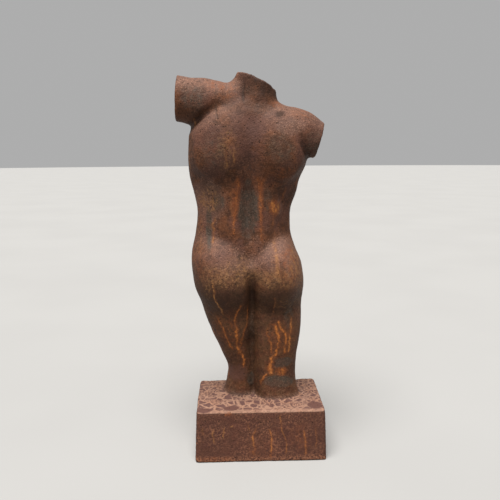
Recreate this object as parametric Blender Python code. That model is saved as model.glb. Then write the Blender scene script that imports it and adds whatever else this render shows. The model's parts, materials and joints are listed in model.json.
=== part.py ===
"""Cast iron female torso on a low rectangular plinth, all one casting.

The figure is cut off at the neck, at both upper arms and just above the knees. It stands with its chest
towards -Y and its back towards +Y, the figure's left side is +X, and the origin is the centre of the
plinth's underside. Lengths of the plinth and of the whole work are in metres. The figure is free form, so it
is laid out in parts of its own height, measured from the centre of the plinth's top.
"""

import math
from dataclasses import dataclass

import bmesh
import bpy
import numpy as np
from mathutils import Vector

# Driving dimensions, in metres
TOTAL_HEIGHT = 0.596
PLINTH_HEIGHT = 0.082
PLINTH_WIDTH = 0.206
PLINTH_DEPTH = 0.137
PLINTH_DRAFT = math.radians(2.0)
PLINTH_CORNER_RADIUS = 0.006
PLINTH_EDGE_RADIUS = 0.0025
CUTTER_SIDE = 0.150

# The figure's own scale: it is 514 parts tall from the plinth's top to the high side of the neck cut
PARTS_TALL = 514
PART = (TOTAL_HEIGHT - PLINTH_HEIGHT) / PARTS_TALL

# How finely the blended form is skinned, in parts, and how many triangles of that skin are kept
SKIN_SPACING = 3.2
SLOPE_STEP = 0.5
SURFACE_PASSES = 3
SKIN_WELD = 0.00005
FIGURE_TRIANGLES = 10200

# Where the figure meets the plinth, in parts
FOOT_FILLET = 11.0
FILLET_SINK = 1.2
ROOT_DEPTH = 12.0
ROOT_MARGIN = 6.0

NODE_NAME = "torso_and_plinth"
IRON_COLOUR = (0.105, 0.052, 0.036, 1.0)
IRON_ROUGHNESS = 0.85
IRON_METALLIC = 0.0


@dataclass(frozen=True)
class Section:
    """A level of a body column: the limits of its outline in plan, in parts."""

    height: float
    left: float
    right: float
    back: float
    front: float


@dataclass(frozen=True)
class Mass:
    """An ellipsoid of muscle or flesh, rolled about Y and turned about Z, in parts and degrees."""

    centre: tuple[float, float, float]
    radii: tuple[float, float, float]
    roll: float = 0.0
    turn: float = 0.0
    blend: float = 20.0


@dataclass(frozen=True)
class Limb:
    """A tapering round limb between two points, in parts."""

    start: tuple[float, float, float]
    end: tuple[float, float, float]
    start_radius: float
    end_radius: float
    blend: float = 20.0


@dataclass(frozen=True)
class Groove:
    """A soft hollow in the back (side 1) or the front (side -1), through points of x, z, width and depth."""

    path: tuple[tuple[float, float, float, float], ...]
    side: int


@dataclass(frozen=True)
class Cut:
    """A flat end, by a point on it in parts and its outward direction."""

    point: tuple[float, float, float]
    outward: tuple[float, float, float]


# Trunk from the crotch to the neck's root
TRUNK = (
    Section(112, 60, -40, 12, -36),
    Section(158, 85, -60, 24, -46),
    Section(188, 98, -68, 33, -52),
    Section(218, 105, -67, 36, -55),
    Section(243, 105, -59, 32, -55),
    Section(268, 100, -52, 26, -53),
    Section(293, 96.5, -50.5, 23, -50),
    Section(306, 96, -51, 24, -49),
    Section(331, 100.5, -59.5, 24.5, -50),
    Section(356, 106.5, -66, 31, -53),
    Section(381, 108, -77, 44, -55),
    Section(405, 107, -83, 47, -54),
    Section(430, 103, -76, 43, -50),
    Section(450, 82, -60, 37, -44),
    Section(464, 58, -40, 31, -38),
    Section(478, 36, -26, 24, -31),
)

# The left leg is relaxed, its knee forward, and the right leg carries the weight
LEFT_LEG = (
    Section(-16, 60, -1, 7, -55),
    Section(4, 56.5, 0, 6, -54),
    Section(23, 52.5, 1, 5, -53),
    Section(42, 50.5, 2, 6, -54),
    Section(68, 60, 2, 10, -57),
    Section(98, 72, 1.5, 17, -58),
    Section(128, 82.5, 2, 23, -55),
    Section(158, 87, 4, 26, -48),
    Section(188, 88, 12, 24, -38),
    Section(214, 70, 24, 14, -24),
)
RIGHT_LEG = (
    Section(-16, 14, -68, 26, -38),
    Section(4, 14.5, -64.5, 25, -38),
    Section(23, 15, -61.5, 23, -37),
    Section(42, 16.5, -60.5, 22, -38),
    Section(68, 17, -62, 24, -43),
    Section(98, 18, -67, 28, -49),
    Section(128, 19, -69.5, 29, -50),
    Section(158, 18, -66, 28, -46),
    Section(188, 8, -62, 25, -36),
    Section(214, -6, -50, 14, -22),
)
TRUNK_SQUARENESS = 2.35
LEG_SQUARENESS = 2.2
LEG_BLEND = 12.0
LEG_TO_TRUNK_BLEND = 26.0

MASSES = {
    "left_buttock": Mass((49, 16, 196), (42, 39, 46), roll=8, blend=20),
    "right_buttock": Mass((-25, 19, 199), (39, 38, 45), roll=-6, blend=20),
    "left_hip": Mass((70, 8, 216), (29, 36, 46), blend=18),
    "right_hip": Mass((-30, 8, 218), (26, 38, 46), blend=18),
    "left_shoulder_blade": Mass((60, 33, 409), (30, 15, 46), roll=-14, blend=32),
    "right_shoulder_blade": Mass((-32, 34, 400), (27, 15, 42), roll=16, blend=32),
    "left_loin": Mass((41, 17, 296), (15, 10, 54), roll=4, blend=24),
    "right_loin": Mass((-5, 17, 296), (14, 10, 52), roll=-4, blend=24),
    "left_breast": Mass((58, -45, 390), (30, 28, 31), roll=-10, turn=14, blend=22),
    "right_breast": Mass((-33, -45, 372), (29, 28, 30), roll=8, turn=-14, blend=22),
    "belly": Mass((20, -24, 236), (46, 32, 44), blend=34),
    "mound": Mass((11, -32, 166), (22, 20, 24), blend=22),
    "left_shoulder": Mass((88, 3, 467), (30, 30, 34), blend=20),
    "right_shoulder": Mass((-66, 6, 426.5), (27, 29, 28), blend=20),
}

LIMBS = {
    "left_arm": Limb((66, 2, 468), (146, 2, 479), 31.5, 35.2, blend=9),
    "right_arm": Limb((-52, 6, 429), (-112, 6, 403.5), 31.5, 25.5, blend=10),
    "left_trapezius": Limb((12, 8, 458), (80, 4, 478), 26.0, 21.0, blend=16),
    "right_trapezius": Limb((4, 9, 445), (-62, 6, 424.5), 26.0, 24.0, blend=16),
    "neck": Limb((4.5, 2, 450), (0, 3, 530), 31.0, 28.8, blend=11),
    "left_neck_ramp": Limb((32, 4, 478), (-4, -5, 514), 22.0, 22.0, blend=8),
}

GROOVES = {
    "spine": Groove(
        (
            (12, 452, 12, 0.5),
            (15, 400, 11, 2.5),
            (18, 352, 10, 4.0),
            (19, 300, 10, 5.0),
            (18, 262, 9, 4.0),
            (14, 228, 9, 1.0),
        ),
        1,
    ),
    "sacrum_left": Groove(((84, 272, 11, 0.5), (48, 262, 10, 2.4), (16, 234, 9, 1.2)), 1),
    "sacrum_right": Groove(((-54, 272, 11, 0.5), (-20, 258, 10, 2.4), (12, 234, 9, 1.2)), 1),
    "cleft": Groove(
        (
            (12, 220, 9, 0.5),
            (12, 203, 9, 4.0),
            (12, 180, 9, 10.0),
            (11.5, 152, 9, 11.0),
            (11, 122, 10, 7.5),
            (10.5, 90, 10, 6.5),
            (9.5, 62, 9, 6.5),
            (7, 30, 9, 7.0),
            (5, -2, 9, 7.5),
        ),
        1,
    ),
    "left_fold": Groove(((16, 142, 11, 1.5), (44, 133, 12, 1.5), (76, 145, 12, 0.4)), 1),
    "right_fold": Groove(((8, 147, 11, 1.5), (-30, 144, 12, 1.5), (-62, 155, 12, 0.4)), 1),
    "left_armpit_back": Groove(
        ((106, 430, 6, 5.0), (88, 443, 6, 4.5), (74, 455, 7, 3.0), (56, 466, 9, 0.8)), 1
    ),
    "right_armpit_back": Groove(
        ((-80, 378, 6, 4.0), (-68, 398, 6, 4.0), (-62, 414, 8, 1.5), (-56, 430, 9, 0.3)), 1
    ),
    "neck_root": Groove(((24, 476, 5, 0.6), (8, 467, 6, 2.0), (-14, 465, 6, 1.5), (-30, 471, 5, 1.5)), 1),
    "midline_front": Groove(
        ((12, 440, 10, 1.0), (15, 385, 8, 4.0), (19, 330, 9, 2.5), (20, 284, 8, 1.5)), -1
    ),
    "navel": Groove(((20, 273, 3.8, 6.0), (20, 270, 3.8, 6.0)), -1),
    "groin_left": Groove(((84, 222, 7, 0.5), (48, 174, 7, 3.0), (17, 140, 6, 3.5)), -1),
    "groin_right": Groove(((-56, 222, 7, 0.5), (-24, 174, 7, 3.0), (5, 140, 6, 3.5)), -1),
    "between_legs_front": Groove(
        ((11, 146, 7, 2.0), (11, 104, 6.5, 6.0), (10, 70, 6, 5.0), (7, 30, 6, 5.0), (5, -2, 6, 5.0)),
        -1,
    ),
}

CUTS = {
    "neck": Cut((1.5, 0, 498.8), (-0.432, -0.12, 0.894)),
    "left_arm": Cut((123.4, 0, 474.0), (1.0, 0, 0.05)),
    "right_arm": Cut((-93.5, 0, 415.0), (-0.962, 0, -0.272)),
}


def smooth_curve(at, stations, values):
    """Reads a smooth curve through stations and values, with level ends, at the heights given."""
    stations, values = np.asarray(stations, float), np.asarray(values, float)
    slopes = np.gradient(values, stations)
    at = np.clip(at, stations[0], stations[-1])
    k = np.clip(np.searchsorted(stations, at, side="right") - 1, 0, len(stations) - 2)
    span = stations[k + 1] - stations[k]
    t = (at - stations[k]) / span
    rise = values[k + 1] - values[k]
    ease = 3 * t**2 - 2 * t**3
    return (
        values[k]
        + ease * rise
        + span * (t**3 - 2 * t**2 + t) * slopes[k]
        + span * (t**3 - t**2) * slopes[k + 1]
    )


def smooth_union(a, b, blend):
    """The nearer of two distances, with the join rounded over a width of blend."""
    overlap = np.maximum(blend - np.abs(a - b), 0.0) / blend
    return np.minimum(a, b) - overlap**2 * blend / 4


def smooth_intersection(a, b, blend):
    """The farther of two distances, with the edge rounded over a width of blend."""
    return -smooth_union(-a, -b, blend)


def oval_distance(across, along, half_across, half_along, squareness=2.0):
    """Distance to an oval in plan, close to true near its outline."""
    u = np.abs(across / half_across) + 1e-9
    v = np.abs(along / half_along) + 1e-9
    size = (u**squareness + v**squareness) ** (1 / squareness)
    slope = size ** (1 - squareness) * np.hypot(
        u ** (squareness - 1) / half_across, v ** (squareness - 1) / half_along
    )
    return (size - 1) / slope


def column_distance(x, y, z, sections, squareness, end_round):
    """Distance to an upright column whose plan follows its sections."""
    heights = [s.height for s in sections]
    left, right, back, front = (
        smooth_curve(z, heights, [getattr(s, side) for s in sections])
        for side in ("left", "right", "back", "front")
    )
    side = oval_distance(
        x - (left + right) / 2,
        y - (back + front) / 2,
        (left - right) / 2,
        (back - front) / 2,
        squareness,
    )
    ends = np.maximum(heights[0] - z, z - heights[-1])
    return smooth_intersection(side, ends, end_round)


def mass_distance(x, y, z, mass):
    """Distance to a turned ellipsoid, close to true near its surface."""
    roll, turn = math.radians(mass.roll), math.radians(mass.turn)
    dx, dy, dz = (p - c for p, c in zip((x, y, z), mass.centre))
    dx, dy = (
        dx * math.cos(turn) + dy * math.sin(turn),
        dy * math.cos(turn) - dx * math.sin(turn),
    )
    dx, dz = (
        dx * math.cos(roll) - dz * math.sin(roll),
        dz * math.cos(roll) + dx * math.sin(roll),
    )
    rx, ry, rz = mass.radii
    size = np.sqrt((dx / rx) ** 2 + (dy / ry) ** 2 + (dz / rz) ** 2) + 1e-9
    slope = np.sqrt((dx / rx**2) ** 2 + (dy / ry**2) ** 2 + (dz / rz**2) ** 2) + 1e-9
    return size * (size - 1) / slope


def limb_distance(x, y, z, limb):
    """Distance to a tapering limb with round ends."""
    start, end = np.array(limb.start, float), np.array(limb.end, float)
    axis = end - start
    from_start = [p - s for p, s in zip((x, y, z), start)]
    along = np.clip(sum(d * a for d, a in zip(from_start, axis)) / (axis @ axis), 0, 1)
    off = [d - along * a for d, a in zip(from_start, axis)]
    radius = limb.start_radius + along * (limb.end_radius - limb.start_radius)
    return np.sqrt(sum(o**2 for o in off)) - radius


def groove_depth(x, z, groove):
    """How deep a groove cuts at each point, fading to nothing over its width."""
    depth = np.zeros(np.shape(x))
    for (x0, z0, w0, d0), (x1, z1, w1, d1) in zip(groove.path, groove.path[1:]):
        dx, dz = x1 - x0, z1 - z0
        t = np.clip(((x - x0) * dx + (z - z0) * dz) / (dx**2 + dz**2), 0, 1)
        away = np.hypot(x - x0 - t * dx, z - z0 - t * dz)
        here = (d0 + t * (d1 - d0)) * np.exp(-((away / (w0 + t * (w1 - w0))) ** 2))
        depth = np.maximum(depth, here)
    return depth


def side_share(y, z, side):
    """1 well on one side of the body and 0 on the other, changing over the body's middle depth."""
    middle = np.interp(z, (0, 200, 518), (-18, -4, -2))
    t = np.clip(0.5 + side * (y - middle) / 24, 0, 1)
    return 3 * t**2 - 2 * t**3


def figure_distance(x, y, z):
    """Distance to the whole figure before its ends are cut flat, negative inside, in parts."""
    left = column_distance(x, y, z, LEFT_LEG, LEG_SQUARENESS, 8)
    right = column_distance(x, y, z, RIGHT_LEG, LEG_SQUARENESS, 8)
    legs = smooth_union(left, right, LEG_BLEND)
    trunk = column_distance(x, y, z, TRUNK, TRUNK_SQUARENESS, 16)
    form = smooth_union(legs, trunk, LEG_TO_TRUNK_BLEND)
    for mass in MASSES.values():
        form = smooth_union(form, mass_distance(x, y, z, mass), mass.blend)
    for limb in LIMBS.values():
        form = smooth_union(form, limb_distance(x, y, z, limb), limb.blend)
    for groove in GROOVES.values():
        form = form + groove_depth(x, z, groove) * side_share(y, z, groove.side)
    return form


def rooted_distance(x, y, z):
    """The figure with a fillet at its foot and a root that goes down into the plinth."""
    half_width = PLINTH_WIDTH / PART / 2 - ROOT_MARGIN - PLINTH_HEIGHT / PART * math.tan(PLINTH_DRAFT)
    half_depth = PLINTH_DEPTH / PART / 2 - ROOT_MARGIN - PLINTH_HEIGHT / PART * math.tan(PLINTH_DRAFT)
    root = np.maximum.reduce(
        [
            z + FILLET_SINK,
            np.abs(x) - half_width,
            np.abs(y) - half_depth,
            -ROOT_DEPTH - z,
        ]
    )
    form = smooth_union(figure_distance(x, y, z), root, FOOT_FILLET)
    return np.maximum(form, -ROOT_DEPTH - z)


def skin_of(distance, low, high, spacing):
    """Points and four-sided faces of the surface where distance is zero.

    There is one point in each grid cell that the surface crosses.
    """
    axes = [np.arange(a, b + spacing, spacing) for a, b in zip(low, high)]
    grid = np.meshgrid(*axes, indexing="ij")
    value = distance(*grid)
    cells = tuple(n - 1 for n in value.shape)
    total, count = np.zeros((*cells, 3)), np.zeros(cells)
    crossings = []
    for axis in range(3):
        ends = [[slice(None)] * 3 for _ in range(2)]
        ends[0][axis], ends[1][axis] = slice(None, -1), slice(1, None)
        a, b = value[tuple(ends[0])], value[tuple(ends[1])]
        index = np.argwhere((a < 0) != (b < 0))
        a, b = a[tuple(index.T)], b[tuple(index.T)]
        point = index.astype(float)
        point[:, axis] += a / (a - b)
        others = [k for k in range(3) if k != axis]
        ring = []
        for step in ((0, 0), (-1, 0), (-1, -1), (0, -1)):
            cell = index.copy()
            cell[:, others[0]] += step[0]
            cell[:, others[1]] += step[1]
            inside = ((cell >= 0) & (cell < cells)).all(1)
            np.add.at(total, tuple(cell[inside].T), point[inside])
            np.add.at(count, tuple(cell[inside].T), 1)
            ring.append(cell)
        crossings.append((axis, ring, a < 0))
    used = count > 0
    number = np.cumsum(used.ravel()).reshape(cells) - 1
    points = np.array(low) + spacing * total[used] / count[used][:, None]
    faces = []
    for axis, ring, leaving in crossings:
        quad = np.stack([number[tuple(cell.T)] for cell in ring], axis=1)
        forward = leaving if axis != 1 else ~leaving
        faces.append(np.where(forward[:, None], quad, quad[:, ::-1]))
    return points, np.concatenate(faces)


def settled(points, distance):
    """The points moved onto the surface where distance is zero."""
    for _ in range(SURFACE_PASSES):
        here = distance(*points.T)
        slope = np.empty_like(points)
        for axis in range(3):
            step = np.zeros(3)
            step[axis] = SLOPE_STEP
            slope[:, axis] = (distance(*(points + step).T) - distance(*(points - step).T)) / (2 * SLOPE_STEP)
        steepness = np.maximum((slope**2).sum(1), 0.25)
        move = -(here / steepness)[:, None] * slope
        points = points + np.clip(move, -SKIN_SPACING / 2, SKIN_SPACING / 2)
    return points


def new_object(name, mesh):
    """A mesh object in the scene."""
    made = bpy.data.objects.new(name, mesh)
    bpy.context.scene.collection.objects.link(made)
    return made


def apply_modifiers(thing):
    """Makes an object's modifiers part of its mesh."""
    evaluated = thing.evaluated_get(bpy.context.evaluated_depsgraph_get())
    finished = bpy.data.meshes.new_from_object(evaluated)
    thing.modifiers.clear()
    thing.data = finished


def make_cutter(name, cut):
    """A block whose face lies on a cut, everything beyond that face being taken away."""
    mesh = bpy.data.meshes.new(name)
    work = bmesh.new()
    bmesh.ops.create_cube(work, size=CUTTER_SIDE)
    work.to_mesh(mesh)
    work.free()
    outward = Vector(cut.outward).normalized()
    cutter = new_object(name, mesh)
    cutter.rotation_euler = outward.to_track_quat("Z", "Y").to_euler()
    cutter.location = Vector(cut.point) * PART + outward * CUTTER_SIDE / 2
    cutter.location.z += PLINTH_HEIGHT
    cutter.display_type = "WIRE"
    cutter.hide_render = True
    return cutter


def make_figure():
    """The uncut figure and its root in the plinth, standing on the level of the plinth's top."""
    low, high = (-152, -95, -ROOT_DEPTH - 6), (188, 80, 566)
    points, faces = skin_of(rooted_distance, low, high, SKIN_SPACING)
    points = settled(points, rooted_distance) * PART + np.array((0, 0, PLINTH_HEIGHT))
    mesh = bpy.data.meshes.new("figure")
    mesh.from_pydata(points.tolist(), [], faces.tolist())
    work = bmesh.new()
    work.from_mesh(mesh)
    bmesh.ops.remove_doubles(work, verts=work.verts[:], dist=SKIN_WELD)
    work.to_mesh(mesh)
    work.free()
    figure = new_object("figure", mesh)
    lighten = figure.modifiers.new("lighten", "DECIMATE")
    lighten.ratio = FIGURE_TRIANGLES / sum(len(face.vertices) - 2 for face in mesh.polygons)
    apply_modifiers(figure)
    return figure


def make_plinth():
    """The block that the figure stands on, its sides sloping in upwards and its edges a little rounded."""
    slope_in = PLINTH_HEIGHT * math.tan(PLINTH_DRAFT)
    mesh = bpy.data.meshes.new(NODE_NAME)
    work = bmesh.new()
    bmesh.ops.create_cube(work, size=1.0)
    for corner in work.verts:
        upper = corner.co.z > 0
        inset = slope_in if upper else 0.0
        corner.co.x = math.copysign(PLINTH_WIDTH / 2 - inset, corner.co.x)
        corner.co.y = math.copysign(PLINTH_DEPTH / 2 - inset, corner.co.y)
        corner.co.z = PLINTH_HEIGHT if upper else 0.0
    upright = [e for e in work.edges if e.verts[0].co.z != e.verts[1].co.z]
    bmesh.ops.bevel(work, geom=upright, offset=PLINTH_CORNER_RADIUS, segments=4, profile=0.5, affect="EDGES")
    top = [e for e in work.edges if min(v.co.z for v in e.verts) > PLINTH_HEIGHT / 2]
    bmesh.ops.bevel(work, geom=top, offset=PLINTH_EDGE_RADIUS, segments=2, profile=0.5, affect="EDGES")
    work.to_mesh(mesh)
    work.free()
    return new_object(NODE_NAME, mesh)


def boolean(body, tool, operation):
    """Joins a tool to a body or takes it away, as a modifier."""
    step = body.modifiers.new(tool.name, "BOOLEAN")
    step.operation = operation
    step.solver = "EXACT"
    step.object = tool


def iron_material():
    """Rusted cast iron in its mean colour."""
    material = bpy.data.materials.new("rusted_cast_iron")
    material.use_nodes = True
    shader = material.node_tree.nodes["Principled BSDF"]
    shader.inputs["Base Color"].default_value = IRON_COLOUR
    shader.inputs["Roughness"].default_value = IRON_ROUGHNESS
    shader.inputs["Metallic"].default_value = IRON_METALLIC
    return material


def main():
    """Builds the casting from nothing."""
    for leftover in list(bpy.data.objects):
        bpy.data.objects.remove(leftover, do_unlink=True)
    casting = make_plinth()
    figure = make_figure()
    cutters = [make_cutter(name, cut) for name, cut in CUTS.items()]
    boolean(casting, figure, "UNION")
    for cutter in cutters:
        boolean(casting, cutter, "DIFFERENCE")
    bpy.context.view_layer.update()
    apply_modifiers(casting)
    for tool in (figure, *cutters):
        bpy.data.objects.remove(tool, do_unlink=True)
    casting.data.materials.clear()
    casting.data.materials.append(iron_material())


main()
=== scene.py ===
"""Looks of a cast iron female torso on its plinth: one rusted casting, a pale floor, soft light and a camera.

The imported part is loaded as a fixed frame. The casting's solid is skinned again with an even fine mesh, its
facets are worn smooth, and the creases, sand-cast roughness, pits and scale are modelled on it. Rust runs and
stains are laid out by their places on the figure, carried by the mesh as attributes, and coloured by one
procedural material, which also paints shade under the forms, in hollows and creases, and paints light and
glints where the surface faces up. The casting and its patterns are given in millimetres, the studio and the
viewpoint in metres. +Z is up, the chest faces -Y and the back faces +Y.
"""

from __future__ import annotations

import functools
import json
import logging
import math
import random
from dataclasses import dataclass, field
from enum import Enum
from typing import Any, Iterable, Iterator, Sequence

import bmesh
import bpy
import numpy as np
from mathutils import Matrix, Vector, noise
from mathutils.bvhtree import BVHTree
from mathutils.kdtree import KDTree

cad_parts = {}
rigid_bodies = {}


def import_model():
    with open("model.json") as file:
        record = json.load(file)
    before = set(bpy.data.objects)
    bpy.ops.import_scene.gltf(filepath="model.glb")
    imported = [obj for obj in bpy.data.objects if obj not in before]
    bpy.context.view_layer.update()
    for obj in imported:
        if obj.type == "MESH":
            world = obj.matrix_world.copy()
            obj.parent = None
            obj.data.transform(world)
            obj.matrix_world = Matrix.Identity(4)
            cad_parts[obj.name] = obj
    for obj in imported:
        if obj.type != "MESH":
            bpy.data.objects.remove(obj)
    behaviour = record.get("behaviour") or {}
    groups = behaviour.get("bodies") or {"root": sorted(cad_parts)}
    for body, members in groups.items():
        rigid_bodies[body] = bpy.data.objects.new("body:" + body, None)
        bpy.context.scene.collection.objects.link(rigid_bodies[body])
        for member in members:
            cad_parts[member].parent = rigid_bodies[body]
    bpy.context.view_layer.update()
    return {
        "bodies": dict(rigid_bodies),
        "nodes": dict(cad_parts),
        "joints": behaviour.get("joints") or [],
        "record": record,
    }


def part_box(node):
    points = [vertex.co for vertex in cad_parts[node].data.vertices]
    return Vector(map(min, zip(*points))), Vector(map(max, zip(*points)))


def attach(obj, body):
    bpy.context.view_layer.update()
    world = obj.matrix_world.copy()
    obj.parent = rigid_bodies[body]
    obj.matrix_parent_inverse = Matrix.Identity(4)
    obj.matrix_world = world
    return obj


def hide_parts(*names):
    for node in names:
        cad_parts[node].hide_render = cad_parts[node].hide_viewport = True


LOG = logging.getLogger("rusted_torso")
MM = 0.001
NODE = "torso_and_plinth"
SLOT = "rusted_cast_iron"
WELD = 0.001 * MM
LEAST_POINTS = 3
LEAST_LENGTH = 1e-6

Array = np.ndarray
# A place is two lengths, a span runs from its first number to its second, and a stray is a size and reach
Place = tuple[float, float]
Span = tuple[float, float]
Stray = tuple[float, float]
Point = tuple[float, float, float]
Tone = tuple[float, float, float]


class Side(Enum):
    """A side from which places on the casting are given: its two axes, the axis it faces and which way."""

    BACK = (0, 2, 1, 1.0)
    CHEST = (0, 2, 1, -1.0)
    LEFT = (1, 2, 0, 1.0)
    RIGHT = (1, 2, 0, -1.0)
    TOP = (0, 1, 2, 1.0)


class Stain(Enum):
    """The stains that vary over the casting. The dark scale also holds painted shade, and the pale dust
    painted light and glints. Each value is the mesh attribute that holds where it lies.
    """

    BLOOM = "orange_bloom"
    OCHRE = "ochre_specks"
    IRON = "bare_iron"
    SCALE_AND_SHADE = "dark_scale"
    DUST = "pale_dust"
    PLUM = "plum_scale"


class Trait(Enum):
    """What else the mesh holds for the finish: how a place faces up, its hollow and the plinth's top."""

    LIE = "lie"
    HOLLOW = "hollow"
    PLINTH_TOP = "plinth_top"


@dataclass(frozen=True)
class RustRun:
    """A run of rust down the surface, by places seen from one side. Lengths in millimetres, amber 0 to 1."""

    path: tuple[Place, ...]
    width: float
    strength: float = 1.0
    amber: float = 0.0
    side: Side = Side.BACK


@dataclass(frozen=True)
class Patch:
    """A blot of one stain, an ellipse seen from one side. Lengths in millimetres, tilt in degrees."""

    stain: Stain
    across: float
    up: float
    half_width: float
    half_height: float
    strength: float = 1.0
    tilt: float = 0.0
    side: Side = Side.BACK


@dataclass(frozen=True)
class Crease:
    """A fold in the form along places seen from one side, with dark as the shade painted into it. Lengths in
    millimetres.
    """

    path: tuple[Place, ...]
    width: float
    depth: float
    dark: float = 0.0
    side: Side = Side.BACK


@dataclass(frozen=True)
class Pit:
    """A hollow left in the iron by sand or gas. Lengths in millimetres."""

    across: float
    up: float
    radius: float
    depth: float
    side: Side = Side.BACK


# Rust runs that show on the back of the figure, from the top down
FIGURE_RUNS = (
    RustRun(((31, 440), (33, 421), (36, 404), (38, 386), (39, 366), (39, 350)), 5.0, 0.55),
    RustRun(((41, 424), (43, 404), (43, 388), (41, 372)), 3.0, 0.3, 0.3),
    RustRun(((4, 442), (0, 430), (-2, 404), (-2, 380), (-3, 358), (-4, 342)), 4.6, 0.48),
    RustRun(((-9, 442), (-5, 432), (-2, 420)), 4.5, 0.40),
    RustRun(((37, 484), (38, 470), (37, 458)), 3.0, 0.35, 0.9),
    RustRun(((49, 480), (49, 466), (48, 452)), 3.0, 0.35, 0.9),
    RustRun(((70, 412), (71, 398), (69, 388)), 3.0, 0.45, 0.8),
    RustRun(((66, 380), (71, 368), (70, 352), (72, 338)), 3.6, 0.55, 0.5),
    RustRun(((-40, 424), (-38, 404)), 4.5, 0.4, 0.2),
    RustRun(((-19, 405), (-23, 394), (-25, 382)), 9.0, 0.95, 0.2),
    RustRun(((-28, 400), (-31, 392), (-29, 380)), 4.0, 0.7, 0.6),
    RustRun(((-19, 404), (-22, 395), (-26, 384)), 8.5, 1.0, 0.3),
    RustRun(((-34, 136), (-34, 122)), 10.0, 0.9),
    RustRun(((-22, 378), (-22, 364)), 3.0, 0.4, 0.4),
    RustRun(((-23, 346), (-25, 326), (-26, 306), (-27, 288)), 6.0, 0.42, 0.7),
    RustRun(((72, 284), (70, 268), (69, 256), (66, 247), (60, 236), (56, 226)), 2.6, 0.8, 0.9),
    RustRun(((29, 246), (32, 236), (37, 226), (39, 216), (37, 206), (34, 196)), 3.2, 0.7),
    RustRun(((37, 206), (36, 186), (35, 170), (29, 158), (24, 146), (25, 130)), 3.8, 0.95),
    RustRun(((48, 216), (44, 206), (40, 199), (36, 200)), 2.4, 0.4),
    RustRun(((18, 240), (19, 216), (23, 198), (28, 184), (30, 168), (34, 154)), 3.0, 0.62),
    RustRun(((69, 226), (60, 206), (52, 186), (43, 162)), 2.8, 0.7),
    RustRun(((57, 200), (51, 182), (46, 166)), 2.8, 0.6),
    RustRun(((-22, 262), (-22, 244), (-22, 226)), 2.2, 0.35, 0.5),
    RustRun(((-22, 212), (-28, 196), (-31, 180), (-27, 162), (-20, 152), (-16, 140), (-17, 128)), 4.2, 1.0),
    RustRun(((-19, 150), (-17, 138), (-17, 124)), 7.0, 1.0),
    RustRun(((-14, 126), (-7, 120), (-3, 112), (-2, 104)), 3.0, 0.9),
    RustRun(((-18, 142), (-17, 132), (-18, 122)), 4.5, 1.0, 0.3),
    RustRun(((-14, 204), (-16, 210), (-23, 210)), 2.2, 0.5),
    RustRun(((-14, 208), (-12, 192), (-18, 178), (-19, 160)), 3.0, 0.65),
    RustRun(((-29, 218), (-31, 206), (-38, 198), (-42, 190), (-41, 174), (-41, 158)), 4.0, 1.0),
    RustRun(((-49, 222), (-50, 204), (-48, 184), (-46, 158)), 3.6, 0.95, 0.3),
    RustRun(((-59, 196), (-55, 172)), 2.4, 0.35, 0.3),
    RustRun(((58, 58), (57, 50), (59, 38)), 2.2, 0.5, 0.8),
    RustRun(((13, 46), (12, 34), (11, 24), (10, 10)), 2.8, 0.72, 0.3),
    RustRun(((6, 57), (10, 48), (13, 42)), 2.2, 0.5, 0.3),
    RustRun(((-12, 54), (-17, 37), (-15, 26), (-16, 4)), 2.6, 0.75, 0.2),
    RustRun(((-29, 77), (-32, 49), (-39, 34), (-39, 25), (-38, 10)), 2.2, 0.55, 0.4),
    RustRun(((-66, 52), (-69, 28), (-70, 8)), 2.8, 0.6, 0.2),
    RustRun(((91, 58), (90, 44)), 2.2, 0.5, 0.9),
    RustRun(((74, 57), (75, 44), (72, 30)), 2.2, 0.4, 0.8),
    RustRun(((49, 56), (45, 60), (41, 58)), 2.0, 0.55, 1.0),
    RustRun(((22, 63), (17, 50)), 2.0, 0.45, 0.5),
    RustRun(((-84, 60), (-87, 34), (-85, 20)), 2.2, 0.35, 0.3),
)

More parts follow.
